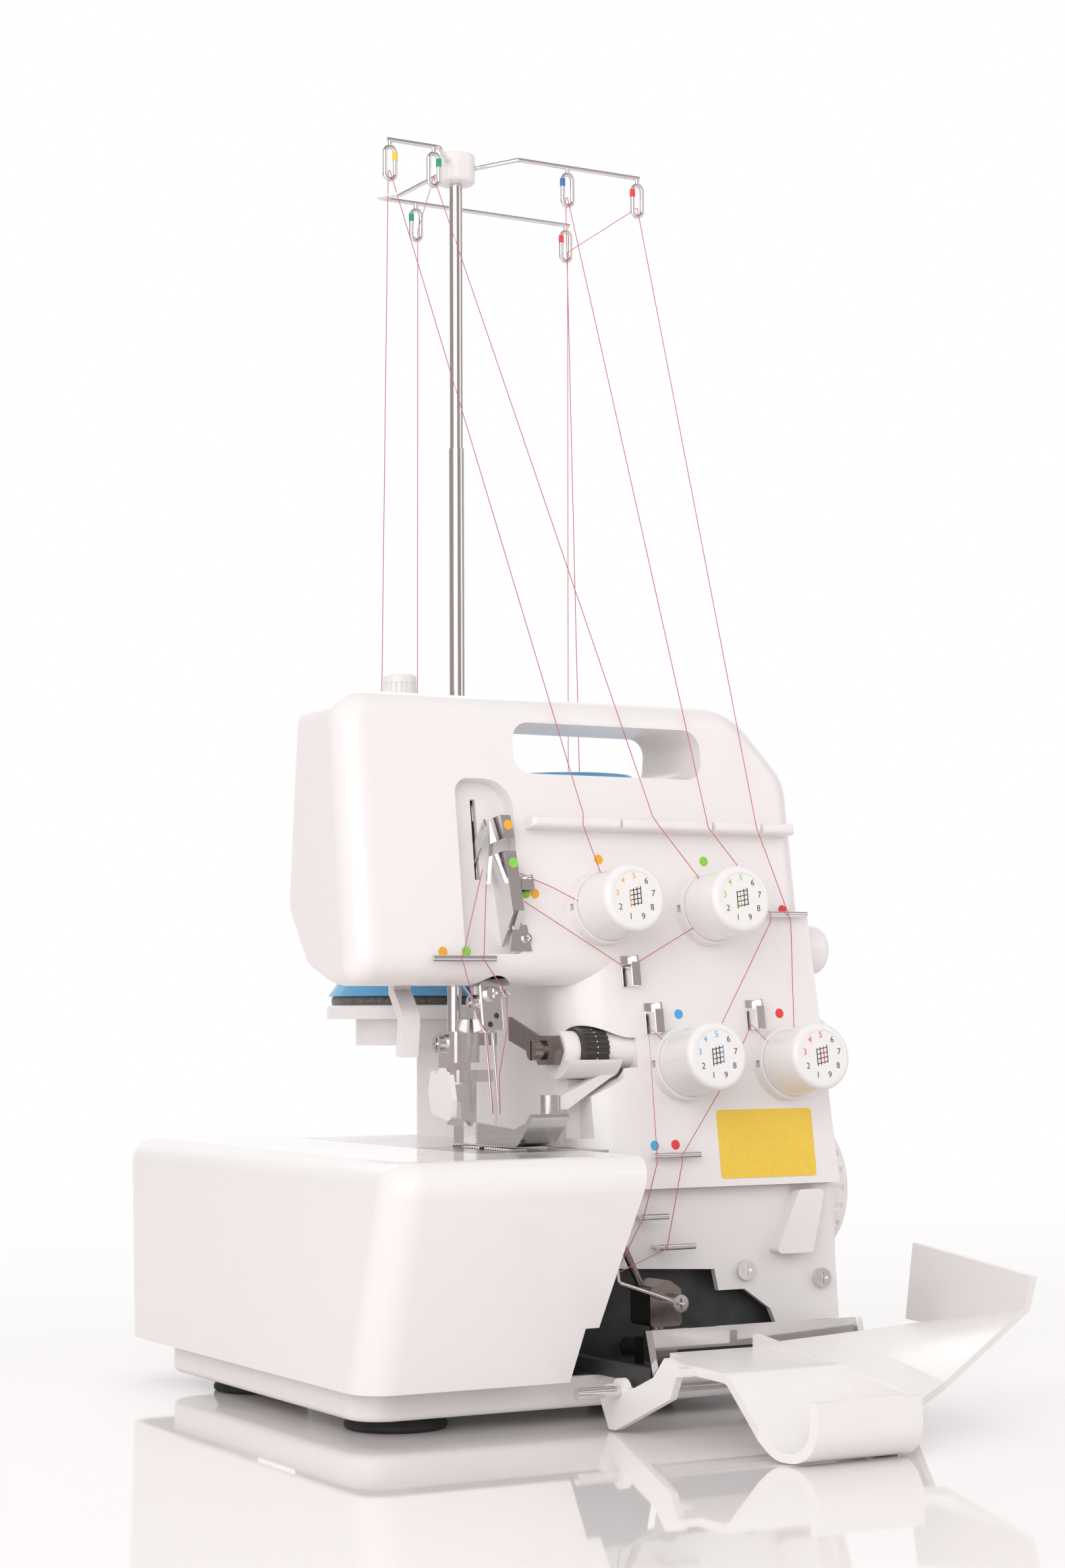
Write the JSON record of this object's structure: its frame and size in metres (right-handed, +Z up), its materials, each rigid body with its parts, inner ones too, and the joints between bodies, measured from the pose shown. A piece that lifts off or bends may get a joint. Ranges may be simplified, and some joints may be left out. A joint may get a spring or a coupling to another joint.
{
  "type": "overlock sewing machine",
  "caption": "White household overlock sewing machine with tension dials, spools on a tray, a raised telescopic thread stand, open looper cover and cutting knife for edging cloth.",
  "frame": {"origin": "middle of the whole footprint, on the table under the rubber feet", "axes": "+X to the right of the person sewing, +Y away from them, +Z up"},
  "size_m": [0.2699, 0.392, 0.568],
  "materials": {
    "white": "smooth white moulded plastic, satin gloss",
    "tray_grey": "light grey moulded plastic",
    "rubber": "black rubber",
    "cast": "black painted casting",
    "steel": "ground steel",
    "chrome": "plated bright steel",
    "brass": "sintered bronze",
    "black": "black moulded plastic",
    "foam": "grey felt pad",
    "blue": "blue moulded reel",
    "thread": "dark red sewing thread"
  },
  "bodies": {
    "machine": {"front_shell": "white", "rear_shell": "white", "lower_front_cover": "white", "lower_housing": "white", "base_tray": "white", "tension_collars": "white", "spool_cap": "white", "spool_tray": "tray_grey", "rubber_feet": "rubber", "drive_belt": "rubber", "frame_casting": "cast", "needle_plate": "steel", "knife_lever": "steel", "tension_posts": "steel", "cover_screws": "steel", "take_up_cover_upper": "chrome", "take_up_cover_lower": "chrome", "thread_clips": "chrome", "thread_guide_bars": "chrome", "pole_outer": "chrome", "shaft_bushes": "brass", "power_inlet": "black", "motor": "black", "foam_pads": "foam", "spool_reels": "blue", "thread_windings": "thread", "thread_runs": "thread"},
    "bed_cover": {"bed_cover": "white"},
    "cover_hinge": {"hinge_bar": "steel"},
    "looper_cover": {"looper_cover": "white"},
    "thread_pole": {"pole_inner": "chrome", "guide_hub": "black", "guide_wires": "chrome"},
    "needle_bar": {"needle_bar": "steel", "needle_clamp": "steel", "needles": "steel"},
    "take_up_lever": {"take_up_lever": "steel"},
    "presser": {"presser_bar": "steel", "presser_holder": "steel", "presser_foot": "steel", "foot_guard": "white"},
    "presser_lifter": {"presser_lifter": "white"},
    "upper_knife": {"upper_knife_arm": "white", "upper_knife": "steel"},
    "knife_knob": {"knife_knob": "black"},
    "feed_dog_main": {"feed_dog_main": "steel"},
    "feed_dog_differential": {"feed_dog_differential": "steel"},
    "upper_looper": {"upper_looper": "steel"},
    "lower_looper": {"lower_looper": "steel", "looper_thread_arm": "steel"},
    "main_shaft": {"main_shaft": "steel", "handwheel": "white"},
    "motor_pulley": {"motor_pulley": "black"},
    "stitch_length_dial": {"stitch_length_dial": "white"},
    "differential_dial": {"differential_dial": "white"},
    "power_switch": {"power_switch": "black"},
    "tension_dial_1": {"tension_dial_1": "white"},
    "tension_dial_2": {"tension_dial_2": "white"},
    "tension_dial_3": {"tension_dial_3": "white"},
    "tension_dial_4": {"tension_dial_4": "white"}
  },
  "joints": [
    {"name": "bed_cover_slide", "type": "slide", "parent": "machine", "child": "bed_cover", "axis": [-1, 0, 0], "range_m": [0, 0.05]},
    {"name": "cover_hinge", "type": "hinge", "parent": "machine", "child": "cover_hinge", "pos_m": [0.0018, -0.0842, 0.016], "axis": [-1, 0, 0], "range_deg": [0, 76]},
    {"name": "cover_slide", "type": "slide", "parent": "cover_hinge", "child": "looper_cover", "axis": [1, 0, 0], "range_m": [-0.003, 0]},
    {"name": "thread_pole_slide", "type": "slide", "parent": "machine", "child": "thread_pole", "axis": [0, 0, 1], "range_m": [-0.12, 0], "deforming": ["thread_runs"]},
    {"name": "needle_bar_slide", "type": "slide", "parent": "machine", "child": "needle_bar", "axis": [0, -0.1564, -0.9877], "range_m": [0, 0.024]},
    {"name": "take_up_swing", "type": "hinge", "parent": "machine", "child": "take_up_lever", "pos_m": [-0.0492, 0.0243, 0.211], "axis": [1, 0, 0], "range_deg": [0, 6.1]},
    {"name": "upper_looper_swing", "type": "hinge", "parent": "machine", "child": "upper_looper", "pos_m": [-0.0202, -0.0182, 0.067], "axis": [0, 1, 0], "range_deg": [-12.1, 0]},
    {"name": "lower_looper_swing", "type": "hinge", "parent": "machine", "child": "lower_looper", "pos_m": [0.0168, -0.0182, 0.023], "axis": [0, 1, 0], "range_deg": [0, 12.1]},
    {"name": "upper_knife_swing", "type": "hinge", "parent": "machine", "child": "upper_knife", "pos_m": [-0.0132, -0.0062, 0.147], "axis": [1, 0, 0], "range_deg": [0, 5.1]},
    {"name": "presser_lift", "type": "slide", "parent": "machine", "child": "presser", "axis": [0, 0, 1], "range_m": [0, 0.006]},
    {"name": "lifter_swing", "type": "hinge", "parent": "machine", "child": "presser_lifter", "pos_m": [-0.0722, 0.0338, 0.189], "axis": [1, 0, 0], "range_deg": [0, 35.1]},
    {"name": "feed_main_slide", "type": "slide", "parent": "machine", "child": "feed_dog_main", "axis": [0, 1, 0], "range_m": [-0.0015, 0.0015]},
    {"name": "feed_differential_slide", "type": "slide", "parent": "machine", "child": "feed_dog_differential", "axis": [0, 1, 0], "range_m": [-0.0015, 0.0015]},
    {"name": "main_shaft_spin", "type": "hinge", "parent": "machine", "child": "main_shaft", "pos_m": [0.0518, 0.0228, 0.085], "axis": [1, 0, 0], "continuous": true},
    {"name": "motor_spin", "type": "hinge", "parent": "machine", "child": "motor_pulley", "pos_m": [0.0918, 0.0968, 0.063], "axis": [1, 0, 0], "continuous": true},
    {"name": "knife_knob_turn", "type": "hinge", "parent": "machine", "child": "knife_knob", "pos_m": [-0.0032, -0.0062, 0.147], "axis": [1, 0, 0], "range_deg": [0, 90]},
    {"name": "tension_dial_1_turn", "type": "hinge", "parent": "machine", "child": "tension_dial_1", "pos_m": [0.0054, -0.00748, 0.2063], "axis": [0, -0.9903, 0.1387], "range_deg": [-160, 160]},
    {"name": "tension_dial_2_turn", "type": "hinge", "parent": "machine", "child": "tension_dial_2", "pos_m": [0.058, -0.00745, 0.2065], "axis": [0, -0.9903, 0.1387], "range_deg": [-160, 160]},
    {"name": "tension_dial_3_turn", "type": "hinge", "parent": "machine", "child": "tension_dial_3", "pos_m": [0.0392, -0.01669, 0.1405], "axis": [0, -0.9903, 0.1387], "range_deg": [-160, 160]},
    {"name": "tension_dial_4_turn", "type": "hinge", "parent": "machine", "child": "tension_dial_4", "pos_m": [0.0913, -0.01677, 0.1399], "axis": [0, -0.9903, 0.1387], "range_deg": [-160, 160]},
    {"name": "differential_dial_turn", "type": "hinge", "parent": "machine", "child": "differential_dial", "pos_m": [0.1168, 0.0078, 0.19], "axis": [1, 0, 0], "range_deg": [-100, 100]},
    {"name": "stitch_length_turn", "type": "hinge", "parent": "machine", "child": "stitch_length_dial", "pos_m": [0.1168, 0.0058, 0.149], "axis": [1, 0, 0], "range_deg": [-150, 150]},
    {"name": "power_switch_rock", "type": "hinge", "parent": "machine", "child": "power_switch", "pos_m": [0.1163, 0.1138, 0.037], "axis": [0, 1, 0], "range_deg": [-8, 8]}
  ],
  "couplings": [
    {"joint": "take_up_swing", "follows": "needle_bar_slide", "rad_per_m": 4.363},
    {"joint": "upper_looper_swing", "follows": "needle_bar_slide", "rad_per_m": -8.727},
    {"joint": "lower_looper_swing", "follows": "needle_bar_slide", "rad_per_m": 8.727},
    {"joint": "upper_knife_swing", "follows": "needle_bar_slide", "rad_per_m": 3.636},
    {"joint": "lifter_swing", "follows": "presser_lift", "rad_per_m": 101.8},
    {"joint": "feed_differential_slide", "follows": "feed_main_slide", "ratio": 1},
    {"joint": "motor_spin", "follows": "main_shaft_spin", "ratio": 3}
  ]
}
